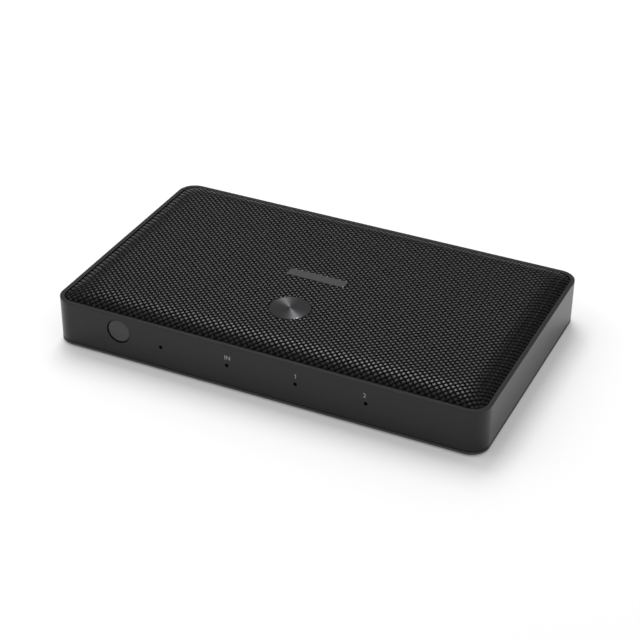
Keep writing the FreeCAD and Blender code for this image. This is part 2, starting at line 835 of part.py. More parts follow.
def power_socket():
    body = new_body("power_socket_body")
    case = block("0", "0", "jack_half", "jack_rise")
    pad(body, "XZ", "jack_rear", "jack_front", case)
    pocket(body, "XZ", "jack_floor", "port_mouth + wall", circle("0", "0", "jack_bore"))
    slot = rectangle(
        "-leaf_half - leaf_side_gap", "leaf_half + leaf_side_gap", "-jack_bore - leaf_room", "-jack_pin * 2"
    )
    pocket(body, "XZ", "jack_floor", "jack_front - leaf_room", slot)
    place(body, port_x(0), "0", "port_z")

    pin = new_body("power_socket_pin")
    tip = "jack_front - jack_pin_recess"
    turned(pin, "XY", [("0", "jack_floor"), ("jack_pin", "jack_floor"), ("jack_pin", tip), ("0", tip)])
    place(pin, port_x(0), "0", "port_z")

    leaf = new_body("power_socket_spring")
    floor, crest = "(-jack_bore - leaf_room)", "(-jack_bore + leaf_thick)"
    start, end = "jack_floor + leaf_side_gap", "jack_front - leaf_room - leaf_side_gap"
    knee = "jack_floor + leaf_reach"
    profile = [
        (start, floor),
        (knee, f"{crest} - leaf_thick"),
        (end, floor),
        (end, f"{floor} + leaf_thick"),
        (knee, crest),
        (start, f"{floor} + leaf_thick"),
    ]
    pad(leaf, "YZ", "-leaf_half", "leaf_half", polygon(profile))
    place(leaf, port_x(0), "0", "port_z")


def lamps():
    """Four lamp chips at the board's front edge and the light pipes above them."""
    for index, name in enumerate(("power", "input", "output_1", "output_2")):
        middle = port_x(index)
        sides = (f"{middle} - lamp_long / 2", f"{middle} + lamp_long / 2")
        depth = ("lamp_y - lamp_deep / 2", "lamp_y + lamp_deep / 2")
        finished(box("lamp_" + name, *sides, *depth, "board_top", "board_top + lamp_high"))
        pipe = new_body("light_pipe_" + name)
        riser = block("0", "lamp_y", "lamp_long / 2", "lamp_deep / 2")
        pad(pipe, "XY", "board_top + lamp_high + pipe_gap", "lamp_z + pipe_above", riser)
        nib = block("0", "lamp_z", "pipe_nib", "pipe_nib")
        pad(pipe, "XZ", "-half_deep + pipe_recess", "lamp_y", nib)
        place(pipe, middle)


# Buttons and their switches
def square_well_switch(name, case, well):
    """A switch's case, as a box, less the square well that its peg slides in."""
    return finished(joined("Cut", name, box(name + "_case", *case), box(name + "_well", *well)))


def about(middle, half):
    return (f"{middle} - ({half})", f"{middle} + {half}")


def select_button():
    cap = new_body("select_button_cap")
    corners = [
        ("0", "select_flange_top"),
        ("select_radius", "select_flange_top"),
        ("select_radius", "select_top - select_chamfer"),
        ("select_radius - select_chamfer", "select_top"),
        ("0", "select_top"),
    ]
    turned(cap, "XZ", corners)
    place(cap, "select_x", "select_y")

    plunger = new_body("select_button_plunger")
    pad(plunger, "XY", "select_flange_bottom", "select_flange_top", circle("0", "0", "select_flange"))
    pad(plunger, "XY", "peg_top", "select_flange_bottom", block("0", "0", "select_stem_half", "select_stem_half"))
    place(plunger, "select_x", "select_y")

    case = about("select_x", "switch_half") + about("select_y", "switch_half") + ("board_top", "switch_top")
    hole = "switch_peg_half + switch_peg_gap"
    well_floor = "board_top + switch_floor"
    well = about("select_x", hole) + about("select_y", hole) + (well_floor, "switch_top + switch_room")
    square_well_switch("select_switch_body", case, well)
    foot = f"{well_floor} + select_travel + switch_room"
    peg = about("select_x", "switch_peg_half") + about("select_y", "switch_peg_half") + (foot, "peg_top")
    finished(box("select_switch_peg", *peg))


def power_button():
    cap = new_body("power_button_cap")
    corners = [
        ("0", "power_face"),
        ("power_radius - power_chamfer", "power_face"),
        ("power_radius", "power_face + power_chamfer"),
        ("power_radius", "power_bar_front + power_bar_lap"),
        ("0", "power_bar_front + power_bar_lap"),
    ]
    turned(cap, "XY", corners)
    bar = block("0", "0", "power_bar_half", "power_bar_rise")
    pad(cap, "XZ", "power_bar_front", "power_bar_back", bar)
    stem = block("0", "0", "power_stem_half", "power_stem_half")
    pad(cap, "XZ", "power_bar_back", "power_stem_end", stem)
    place(cap, "power_x", "0", "power_z")

    case = about("power_x", "power_switch_half") + ("power_switch_front", "power_switch_back")
    case += ("board_top", "power_z + power_switch_rise")
    hole = "power_peg_half + switch_peg_gap"
    room = "power_stem_end + power_peg_length + power_travel + switch_room"
    well = about("power_x", hole) + ("power_switch_front - switch_room", room) + about("power_z", hole)
    square_well_switch("power_switch_body", case, well)
    reach = ("power_stem_end", "power_stem_end + power_peg_length")
    peg = about("power_x", "power_peg_half") + reach + about("power_z", "power_peg_half")
    finished(box("power_switch_peg", *peg))


# Electronics
def on_board(name, across, along, half_x, half_y, high, low="board_top"):
    return box(name, *about(across, half_x), *about(along, half_y), low, f"{low} + {high}")


def chip(name):
    """A flat chip whose place and size have its own name in the sheet."""
    half_x, half_y = f"{name}_long / 2", f"{name}_deep / 2"
    finished(on_board(name, f"{name}_x", f"{name}_y", half_x, half_y, f"{name}_high"))


def electronics():
    finished(on_board("splitter_chip", "chip_x", "chip_y", "chip_half", "chip_half", "chip_high"))
    finished(on_board("thermal_pad", "chip_x", "chip_y", "pad_half", "pad_half", "pad_high", "pad_bottom"))
    sink = new_body("heat_sink")
    half = "sink_half"
    pad(sink, "XY", "sink_bottom", "sink_bottom + sink_base", block("0", "0", half, half))
    first = "fin_thick / 2 - sink_half"
    fin = block(first, "0", "fin_thick / 2", half)
    row = pad(sink, "XY", "sink_bottom + sink_base / 2", "sink_bottom + sink_high", fin)
    repeated(sink, row, "X", "(2 * sink_half - fin_thick) / (fin_count - 1)", "fin_count")
    place(sink, "chip_x", "chip_y")

    for name in ("input_chip", "control_chip", "memory_chip", "regulator", "crystal"):
        chip(name)

    coil_case = on_board("coil_case", "coil_x", "coil_y", "coil_half", "coil_half", "coil_high")
    coil_core = upright("coil_core", "coil_x", "coil_y", "board_top", "board_top + coil_high", "coil_round")
    coil = doc.addObject("Part::Common", "power_coil")
    coil.Base, coil.Tool = coil_case, coil_core
    finished(coil)

    cans = []
    for index in range(int(SIZES["can_count"])):
        across = f"can_x + can_pitch * {index}"
        can = (across, "can_y", "board_top", "board_top + can_high", "can_radius")
        cans.append(upright(f"filter_capacitor_{index + 1}", *can))
    group("filter_capacitors", cans)

    ceramics = []
    for index in range(int(SIZES["ceramic_count"])):
        across = f"ceramic_x + ceramic_pitch * {index}"
        size = ("ceramic_long / 2", "ceramic_deep / 2", "ceramic_high")
        ceramics.append(on_board(f"ceramic_{index + 1}", across, "ceramic_y", *size))
    group("ceramic_capacitors", ceramics)


def check_and_write():
    """Refuses a failed object or an empty or broken shape, then writes each sub-part."""
    doc.recompute()
    for item in doc.Objects:
        if any(word in item.State for word in ("Invalid", "Error")):
            raise RuntimeError(f"{item.Name} failed: {item.State}")
    for item in parts:
        if item.Shape.isNull() or not item.Shape.isValid() or not item.Shape.Solids:
            raise RuntimeError(f"{item.Label} has no valid shape")
    os.makedirs("parts", exist_ok=True)
    for item in parts:
        item.Shape.exportStep(f"parts/{item.Label}.step")
        solids = len(item.Shape.Solids)
        print(f"{item.Label}: {solids} solid(s), {item.Shape.Volume:.1f} cubic mm")


fill_sheets()
side_frame()
bottom_cover()
top_panel()
top_cloth()
nameplate()
feet()
screws()
main_board()
for socket_index, socket_name in enumerate(("input_socket", "output_1_socket", "output_2_socket"), start=1):
    video_socket(socket_name, socket_index)
power_socket()
lamps()
select_button()
power_button()
electronics()
check_and_write()
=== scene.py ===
import json

import bpy
import numpy as np
from mathutils import Matrix


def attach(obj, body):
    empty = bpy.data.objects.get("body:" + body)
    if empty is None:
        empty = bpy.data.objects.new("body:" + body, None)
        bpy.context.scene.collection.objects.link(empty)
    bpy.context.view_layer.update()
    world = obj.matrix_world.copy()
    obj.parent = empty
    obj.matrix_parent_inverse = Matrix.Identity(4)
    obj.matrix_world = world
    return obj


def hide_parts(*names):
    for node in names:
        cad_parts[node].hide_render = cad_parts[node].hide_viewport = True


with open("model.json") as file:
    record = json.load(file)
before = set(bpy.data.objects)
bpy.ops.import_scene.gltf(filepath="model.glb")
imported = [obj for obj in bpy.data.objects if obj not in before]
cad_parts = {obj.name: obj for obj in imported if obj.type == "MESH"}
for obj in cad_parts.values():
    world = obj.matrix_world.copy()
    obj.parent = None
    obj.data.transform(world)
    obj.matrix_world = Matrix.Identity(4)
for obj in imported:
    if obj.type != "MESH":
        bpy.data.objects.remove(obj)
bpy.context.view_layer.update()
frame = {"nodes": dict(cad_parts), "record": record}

# Sizes are in millimetres, as in the construction. Z is up from the surface that the pads stand on.
MM = 0.001
HALF_LONG, HALF_DEEP, CORNER_RADIUS = 75.0, 45.4, 6.2
COVER_BOTTOM, EDGE_TOP, FLOOR_TOP = 0.5, 1.7, 2.3
FRAME_BOTTOM, RIM_TOP, WALL = 1.9, 16.6, 1.5
LEDGE_BOTTOM, LEDGE_TOP, LEDGE_WIDTH = 13.98, 15.18, 2.4
LIP_GAP, LIP_WALL, LIP_TOP = 0.15, 1.2, 4.0
CROWN_TOP, CROWN_DROP, CROWN_POWER, ROLL_WIDTH = 19.25, 2.87, 2.4, 9.0
PANEL_GAP, CORNER_EASE = 0.15, 0.35
CLOTH_X = HALF_LONG - WALL - PANEL_GAP
CLOTH_Y = HALF_DEEP - WALL - PANEL_GAP
CLOTH_RADIUS = CORNER_RADIUS - WALL - PANEL_GAP
PORT_X = (-35.0, -11.13, 12.74, 36.61)
PORT_Z = 9.3
LAMP_Z = 9.25
SELECT_X, SELECT_Y, SELECT_RADIUS, SELECT_TOP, SELECT_FOOT = -1.2, -20.3, 6.85, 19.4, 17.05
SELECT_BORE, SELECT_ROUND = 7.0, 0.22
POWER_X, POWER_Z, POWER_RADIUS, POWER_FACE, POWER_BACK = -50.5, 10.9, 4.0, -45.1, -43.55
PLATE_X, PLATE_Y, PLATE_LONG, PLATE_DEEP = -1.4, 0.6, 21.0, 4.0
PLATE_TOP, PLATE_BOTTOM, PLATE_GAP, PLATE_RADIUS = 19.35, 18.75, 0.15, 0.45
LEGEND_X = (-10.9, 12.95, 36.2)
LEGEND_LOW, LEGEND_TALL, INK = 11.45, 1.5, 0.02

# Openings: pinholes and a bore in the front, windows in the back, and vents in the cover's floor.
PINHOLE_RADIUS, POWER_BORE, POWER_BORE_END = 0.65, 4.25, -43.1
JACK_WINDOW, WINDOW_HALF, WINDOW_RISE = 3.9, 7.75, 3.02
VENTS, VENT_PITCH, VENT_HALF, VENT_X, VENT_FRONT, VENT_BACK = 9, 4.5, 0.9, 8.0, -11.0, 15.0

# Plain weave on the bias: the two ways from one crossing to the next, seen from above.
WARP_STEP = np.array([1.1475, 0.9615])
WEFT_STEP = np.array([1.1475, -0.9615])
YARN_WAVE, YARN_THICK, YARN_PRESS = 0.27, 0.52, 2.5
# one side of the yarn's pressed section: across from its middle, and down from its top
YARN_SIDE = ((0.38, 0.012), (0.52, 0.12), (0.6, 0.3))
# crossings on each side of the middle, points from one to the next, and how far an edge tucks a thread in
YARN_REACH, YARN_STEPS, YARN_TUCK = 57, 4, 0.8
# the cloth turns down over this far on both sides of an edge
EDGE_TURN = 0.3
# the backing's depth under the threads' tops, so shallow that it hides their flanks as painted shade, the
# rows of its roll, and how far it goes down in the button's bore
BACKING_DEPTH, BORE_DEPTH = 0.36, 1.4
ROLL_SHARES = (0, 0.08, 0.2, 0.35, 0.52, 0.72, 1)

# Mesh: arc steps, the least corner radius, and how far from an edge a further ring holds a flat side flat.
CORNER_STEPS, SIDE_STEPS, LEAST_RADIUS, HOLD, NEAR_HOLD = 14, 24, 0.4, 0.8, 0.3
# the radius of the small flat face that closes a turned piece at its middle, and of the sharp moulded edges
POLE, SOFT_EDGE = 0.4, 0.06
SHARP_ANGLE, YARN_SHARP_ANGLE = np.radians(38), np.radians(22)


# Surfaces
def linear(code):
    """An sRGB hex colour as linear red, green, blue and alpha."""
    share = np.array([int(code[i : i + 2], 16) for i in (0, 2, 4)]) / 255
    low, high = share / 12.92, ((share + 0.055) / 1.055) ** 2.4
    return (*np.where(share <= 0.04045, low, high), 1.0)


def piece(name, points, faces, material, body="housing", flat=False):
    """A mesh object from points in millimetres, riding on a body, smooth but for its sharp edges."""
    mesh = bpy.data.meshes.new(name)
    mesh.from_pydata((np.asarray(points) * MM).tolist(), [], faces)
    mesh.validate()
    shown = bpy.data.objects.new(name, mesh)
    bpy.context.scene.collection.objects.link(shown)
    dress(shown, material)
    if not flat:
        smooth(shown)
    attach(shown, body)
    return shown


def dress(shown, material):
    """One material for the whole piece."""
    shown.data.materials.clear()
    shown.data.materials.append(material)


def smooth(shown, angle=SHARP_ANGLE):
    """Smooth shading, but for the edges that turn by more than an angle."""
    shown.data.shade_smooth()
    shown.data.set_sharp_from_angle(angle=angle)


def grid_faces(rows, columns, close_rows=False, close_columns=True):
    """Quads between neighbouring points of a grid whose points are numbered row by row."""
    row_count = rows if close_rows else rows - 1
    column_count = columns if close_columns else columns - 1
    r, c = np.meshgrid(np.arange(row_count), np.arange(column_count), indexing="ij")
    r, c = r.ravel(), c.ravel()
    next_r, next_c = (r + 1) % rows, (c + 1) % columns
    quads = [r * columns + c, r * columns + next_c, next_r * columns + next_c, next_r * columns + c]
    return np.stack(quads, 1).tolist()


def outline_path(half_x, half_y, radius, side_steps=1):
    """Points round a rounded rectangle: each corner is an arc, centre plus radius times (cos, sin) of its
    angle, with one more point on each straight side close to the arc's end, which keeps the side flat, and
    more points between those two where the side is given in steps."""
    turn = np.linspace(0, np.pi / 2, CORNER_STEPS + 1)
    loops = []
    for quarter, (side_x, side_y) in enumerate(((1, 1), (-1, 1), (-1, -1), (1, -1))):
        angle = turn + quarter * np.pi / 2
        centre = np.array([side_x * (half_x - radius), side_y * (half_y - radius)])
        arc = centre + radius * np.stack([np.cos(angle), np.sin(angle)], 1)
        ways = np.stack([-np.sin(angle), np.cos(angle)], 1)
        loops += [arc[:1] - HOLD * ways[:1], arc, arc[-1:] + HOLD * ways[-1:]]
    between = np.arange(1, side_steps)[:, None] / side_steps
    corners = []
    for number in range(0, len(loops), 3):
        corner = np.concatenate(loops[number : number + 3])
        after = loops[(number + 3) % len(loops)][0]
        corners += [corner, corner[-1] + between * (after - corner[-1])]
    return np.concatenate(corners)


def rings(sections, side_steps=1):
    """Rounded rectangles stacked as rows of points, from (inset, radius, height) sections."""
    rows = []
    for inset, radius, height in sections:
        path = outline_path(HALF_LONG - inset, HALF_DEEP - inset, radius, side_steps)
        rows.append(np.column_stack([path, np.full(len(path), height)]))
    return np.array(rows)


def case_sections(profile):
    """Sections that follow the case's outline, from (inset, height) points of a profile."""
    return [(inset, max(CORNER_RADIUS - inset, LEAST_RADIUS), height) for inset, height in profile]


def quarter_round(inset, height, radius, start, steps=6):
    """Profile points on a quarter circle about (inset, height), clockwise from a start angle in degrees."""
    angle = np.radians(start - np.linspace(0, 90, steps + 1))
    return [(inset + radius * np.cos(a), height + radius * np.sin(a)) for a in angle]


def turned(profile, centre, toward_y=False, steps=96):
    """A solid of revolution: each (radius, height) profile point goes round a circle, radius times
    (cos, sin) of the angle. It stands up along Z, or lies along Y with its heights as Y values."""
    angle = np.linspace(0, 2 * np.pi, steps, endpoint=False)
    rows = []
    for radius, height in profile:
        across, along = radius * np.cos(angle), radius * np.sin(angle)
        if toward_y:
            rows.append(np.column_stack([centre[0] + across, np.full(steps, height), centre[1] - along]))
        else:
            rows.append(np.column_stack([centre[0] + across, centre[1] + along, np.full(steps, height)]))
    points = np.array(rows).reshape(-1, 3)
    faces = grid_faces(len(profile), steps)
    faces.append(list(range(steps))[::-1])
    faces.append(list(range((len(profile) - 1) * steps, len(profile) * steps)))
    return points, faces


def block(low, high):
    """The eight corners and six sides of a box."""
    xs, ys, zs = zip(low, high)
    corners = np.array([[x, y, z] for z in zs for y in ys for x in xs])
    sides = [[0, 2, 3, 1], [4, 5, 7, 6], [0, 1, 5, 4], [1, 3, 7, 5], [3, 2, 6, 7], [2, 0, 4, 6]]
    return corners, sides


def cut_away(shown, tools):
    """Takes the tools' solids out of a piece's mesh."""
    points, faces = [], []
    for tool_points, tool_faces in tools:
        base = sum(len(p) for p in points)
        points.append(np.asarray(tool_points))
        faces += [[base + i for i in face] for face in tool_faces]
    mesh = bpy.data.meshes.new("cutter")
    mesh.from_pydata((np.concatenate(points) * MM).tolist(), [], faces)
    cutter = bpy.data.objects.new("cutter", mesh)
    bpy.context.scene.collection.objects.link(cutter)
    change = shown.modifiers.new("cut", "BOOLEAN")
    change.operation, change.solver, change.object = "DIFFERENCE", "EXACT", cutter
    bpy.context.view_layer.update()
    whole = bpy.data.meshes.new_from_object(shown.evaluated_get(bpy.context.evaluated_depsgraph_get()))
    shown.modifiers.clear()
    shown.data = whole
    bpy.data.objects.remove(cutter)
    smooth(shown)


# Materials
def node(tree, kind, inputs=(), **settings):
    """Adds a shader node. Settings are its own properties; inputs pair a socket with a value or an output."""
    made = tree.nodes.new("ShaderNode" + kind)
    for name, value in settings.items():
        setattr(made, name, value)
    for socket, value in dict(inputs).items():
        if isinstance(value, bpy.types.NodeSocket):
            tree.links.new(value, made.inputs[socket])
        else:
            made.inputs[socket].default_value = value
    return made


def found(tree, kind):
    """The first node of a kind in a material."""
    return next(made for made in tree.nodes if made.type == kind)


def material(name, colour, shade, speck_mm, grain_mm, grain_depth_mm, roughness, **shader):
    """A surface with fine grain: noise of the grain's size as bump, and noise of the specks' size that
    darkens the colour by up to a share. Further arguments are the shader's own sockets."""
    made = bpy.data.materials.new(name)
    made.use_nodes = True
    tree = made.node_tree
    tree.nodes.clear()
    place = node(tree, "TexCoord").outputs["Object"]
    specks = node(tree, "TexNoise", {"Vector": place, "Scale": 1 / (speck_mm * MM), "Detail": 3.0})
    dark = tuple(part * (1 - shade) for part in linear(colour)[:3]) + (1.0,)
    colours = {0: specks.outputs[0], 6: linear(colour), 7: dark}
    tint = node(tree, "Mix", colours, data_type="RGBA", clamp_factor=True)
    grain = node(tree, "TexNoise", {"Vector": place, "Scale": 1 / (grain_mm * MM), "Detail": 2.0})
    depth = grain_depth_mm * MM
    bump = node(tree, "Bump", {"Height": grain.outputs[0], "Distance": depth, "Strength": 1.0})
    inputs = {"Base Color": tint.outputs[2], "Normal": bump.outputs["Normal"], "Roughness": roughness}
    for name, value in shader.items():
        inputs[name.replace("_", " ").title().replace("Ior", "IOR")] = value
    shading = node(tree, "BsdfPrincipled", inputs)
    node(tree, "OutputMaterial", {"Surface": shading.outputs["BSDF"]})
    return made


# The cover: the frame's ABS moulded in a coarser texture, which makes it greyer and duller.
cover_plastic = material(
    "moulded_coarse_abs", "353536", 0.15, 3.0, 0.45, 0.008, 0.45, specular_ior_level=0.25
)
# Unseen lid under the cloth, plain moulded ABS.
panel_plastic = material("moulded_plain_abs", "1b1b1c", 0.1, 2.0, 0.4, 0.005, 0.55)
# Fibre backing under the open weave: no shine, nearly black. It lies so close under the crest tops that it
# stands as painted shade between the threads.
backing_and_gap_shade = material("black_backing_as_gap_shade", "0c0c0d", 0.3, 0.3, 0.2, 0.03, 0.95, specular_ior_level=0.1)
# Die-cut rubber sheet: matt, a little dusty.
foot_rubber = material("die_cut_rubber_sheet", "1a1a1b", 0.2, 1.0, 0.3, 0.02, 0.8, specular_ior_level=0.3)
# Steel screws with black oxide.
screw_steel = material("black_oxide_steel", "2e2e30", 0.2, 0.4, 0.2, 0.004, 0.4, metallic=1.0)
# Glass fibre laminate under green solder mask: smooth lacquer over a faint cloth pattern.
board_laminate = material("solder_mask_laminate", "0e3a22", 0.2, 1.2, 0.5, 0.004, 0.3)
# Nickel plated steel sheet, drawn: satin.
shell_steel = material("nickel_plated_sheet", "b9b8b4", 0.08, 1.0, 0.25, 0.002, 0.28, metallic=1.0)
# Black glass-filled nylon of the socket bodies.
insulator_plastic = material("glass_filled_nylon", "1c1c1d", 0.15, 0.4, 0.2, 0.006, 0.55)
# Contacts flashed with gold.
contact_gold = material("gold_flashed_contacts", "d9a94e", 0.05, 0.5, 0.2, 0.001, 0.25, metallic=1.0)
# Turned and plated pin, and the spring beside it.
pin_nickel = material("bright_nickel_plate", "c8c7c3", 0.04, 0.8, 0.25, 0.001, 0.18, metallic=1.0)
# Clear epoxy over the lamp chips.
lamp_resin = material("clear_epoxy_lamp", "cfcaa8", 0.1, 0.5, 0.3, 0.001, 0.2)
# Light pipes of clear acrylic, which look dark in a closed case.
pipe_acrylic = material("clear_moulded_acrylic", "101011", 0.1, 0.8, 0.4, 0.001, 0.12)
# Switch bodies, moulded in black nylon.
switch_plastic = material("moulded_switch_nylon", "242425", 0.1, 0.6, 0.3, 0.004, 0.5)
# The front button: the same ABS with a fine even face, greyer than the frame.
button_plastic = material("fine_moulded_abs", "343435", 0.08, 2.0, 0.3, 0.002, 0.35, specular_ior_level=0.4)
# Black moulding compound of the chips.
chip_resin = material("chip_moulding_compound", "19191a", 0.15, 0.4, 0.15, 0.004, 0.6)
# Grey silicone pad.
pad_silicone = material("silicone_pad", "8b939b", 0.1, 0.8, 0.4, 0.01, 0.7)
# Extruded aluminium, black anodised.
sink_metal = material("black_anodised_extrusion", "2b2b2d", 0.1, 0.8, 0.3, 0.003, 0.4, metallic=0.8)
# Drawn aluminium cans.
can_metal = material("drawn_aluminium_can", "b4b4b2", 0.08, 0.8, 0.3, 0.002, 0.3, metallic=1.0)
# Pressed and fired ferrite.
coil_ferrite = material("pressed_ferrite", "3a3a3b", 0.15, 0.3, 0.2, 0.01, 0.65)
# Fired ceramic chips with tinned ends.
capacitor_ceramic = material("fired_ceramic_chip", "9c7a55", 0.1, 0.4, 0.3, 0.003, 0.45)
# Screen printed ink of the legends: flat light grey.
print_ink = material("screen_printed_ink", "9c9c9c", 0.06, 0.3, 0.2, 0.002, 0.7)


def frame_material():
    """Injection moulded ABS, black and satin, with soft dim reflections that grow at low angles. The narrow
    top of its lip lies in the tool's parting face and has a coarse dull texture."""
    made = material("moulded_satin_abs", "141415", 0.12, 3.0, 0.35, 0.004, 0.27)
    tree = made.node_tree
    shading = found(tree, "BSDF_PRINCIPLED")
    place = node(tree, "TexCoord").outputs["Object"]
    height = node(tree, "SeparateXYZ", {0: place}).outputs["Z"]
    lip = {"Value": height, "From Min": (RIM_TOP - 0.08) * MM, "From Max": (RIM_TOP - 0.03) * MM}
    for socket, side, top in (("Roughness", 0.27, 0.6), ("Specular IOR Level", 0.33, 0.28)):
        level = node(tree, "MapRange", {**lip, "To Min": side, "To Max": top})
        tree.links.new(level.outputs[0], shading.inputs[socket])
    return made


def yarn_material():
    """Coated polyester yarn, woven and pressed: smooth and softly shiny on its crests, dull in between. Below
    the crests its colour is darkened to near black as painted shade.

    The crest attribute is 1 on the top of a crest and 0 under the crossing thread."""
    made = material("coated_woven_yarn", "161617", 0.2, 0.6, 0.25, 0.001, 0.3)
    tree = made.node_tree
    shading = found(tree, "BSDF_PRINCIPLED")
    tint = found(tree, "MIX")
    height = node(tree, "Attribute", attribute_name="crest").outputs["Fac"]
    crest_gloss_and_painted_shade = node(tree, "MapRange", {"Value": height, "From Min": 0.92, "From Max": 1.0})
    # painted shade: the colour falls to near black 050505 below the crest tops, between the threads
    colours = {0: crest_gloss_and_painted_shade.outputs[0], 6: linear("050505"), 7: tint.outputs[2]}
    shaded = node(tree, "Mix", colours, data_type="RGBA", clamp_factor=True)
    tree.links.new(shaded.outputs[2], shading.inputs["Base Color"])
    dull = node(tree, "MapRange", {"Value": crest_gloss_and_painted_shade.outputs[0], "To Min": 0.8, "To Max": 0.3})
    tree.links.new(dull.outputs[0], shading.inputs["Roughness"])
    return made


def spun_metal_material():
    """Dark anodised aluminium, faced on a lathe: fine circular grooves about the button's middle spread each
    highlight along the radius, which is the way of the anisotropy. The real grooves are about 0.05 mm apart.
    The faint rings in the colour are drawn six times as far apart, so that they show. The oxide coat also
    scatters light evenly, so only half of the look is metallic."""
    look = {"metallic": 0.5, "anisotropic": 0.75}
    made = material("spun_anodised_aluminium", "565658", 0.36, 0.3, 0.4, 0.0, 0.178, **look)
    tree = made.node_tree
    shading = found(tree, "BSDF_PRINCIPLED")
    place = node(tree, "TexCoord").outputs["Object"]
    middle = (SELECT_X * MM, SELECT_Y * MM, 0.0)
    spoke = node(tree, "VectorMath", {0: place, 1: middle}, operation="SUBTRACT")
    level = node(tree, "VectorMath", {0: spoke.outputs[0], 1: (1.0, 1.0, 0.0)}, operation="MULTIPLY")
    radius = node(tree, "VectorMath", {0: level.outputs[0]}, operation="NORMALIZE")
    tree.links.new(radius.outputs[0], shading.inputs["Tangent"])
    rings = found(tree, "TEX_NOISE")
    rings.noise_dimensions = "1D"
    rings.inputs["Detail"].default_value = 1.0
    away = node(tree, "VectorMath", {0: level.outputs[0]}, operation="LENGTH")
    tree.links.new(away.outputs["Value"], rings.inputs["W"])
    return made


def brushed_plate_material():
    """Aluminium sheet, brushed lengthwise and anodised grey: noise drawn out along X as bump."""
    made = material("brushed_anodised_plate", "5c5c5e", 0.08, 1.5, 0.3, 0.0003, 0.2, metallic=0.5)
    tree = made.node_tree
    shading = found(tree, "BSDF_PRINCIPLED")
    place = node(tree, "TexCoord").outputs["Object"]
    drawn = node(tree, "Mapping", {"Vector": place, "Scale": (0.05, 1.0, 1.0)})
    streaks = node(tree, "TexNoise", {"Vector": drawn.outputs[0], "Scale": 1 / (0.12 * MM), "Detail": 2.0})
    bump = node(tree, "Bump", {"Height": streaks.outputs[0], "Distance": 0.0004 * MM, "Strength": 1.0})
    tree.links.new(bump.outputs["Normal"], shading.inputs["Normal"])
    return made


frame_plastic = frame_material()
yarn = yarn_material()
spun_metal = spun_metal_material()
plate_metal = brushed_plate_material()


# Camera and stage, in metres
def camera():
    """Looks down at the front and the right side. Its turn is given as its ways to the right, up and back."""
    seen = bpy.data.cameras.new("camera")
    seen.sensor_width, seen.lens = 36.0, 94.33
    seen.clip_start, seen.clip_end = 0.01, 20.0
    holder = bpy.data.objects.new("camera", seen)
    bpy.context.scene.collection.objects.link(holder)
    place = (0.19844, -0.43138, 0.30383)
    right = (0.90578, 0.42363, 0.01034)
    up = (-0.23440, 0.48056, 0.84506)
    back = (0.35302, -0.76786, 0.53458)
    turn = Matrix((right, up, back)).transposed().to_4x4()
    holder.matrix_world = Matrix.Translation(place) @ turn
    bpy.context.scene.camera = holder


def lamp(name, place, along, size_x, size_y, power):
    """A soft rectangular lamp that looks at the object, its first side as nearly as it can along a way."""
    data = bpy.data.lights.new(name, "AREA")
    data.shape, data.size, data.size_y, data.energy = "RECTANGLE", size_x, size_y, power
    holder = bpy.data.objects.new(name, data)
    bpy.context.scene.collection.objects.link(holder)
    back = np.array(place) / np.linalg.norm(place)
    side = np.array(along) - np.dot(along, back) * back
    side /= np.linalg.norm(side)
    turn = Matrix((tuple(side), tuple(np.cross(back, side)), tuple(back))).transposed().to_4x4()
    holder.matrix_world = Matrix.Translation(place) @ turn
    holder.visible_camera = False
    return holder


def shown_directly(tree):
    """1 for rays that show the floor itself: from the camera, mirrored, or through clear things."""
    seen = node(tree, "LightPath").outputs
    direct = node(tree, "Math", {0: seen["Is Camera Ray"], 1: seen["Is Glossy Ray"]}, operation="MAXIMUM")
    both = node(tree, "Math", {0: direct.outputs[0], 1: seen["Is Transmission Ray"]}, operation="MAXIMUM")
    return both.outputs[0]


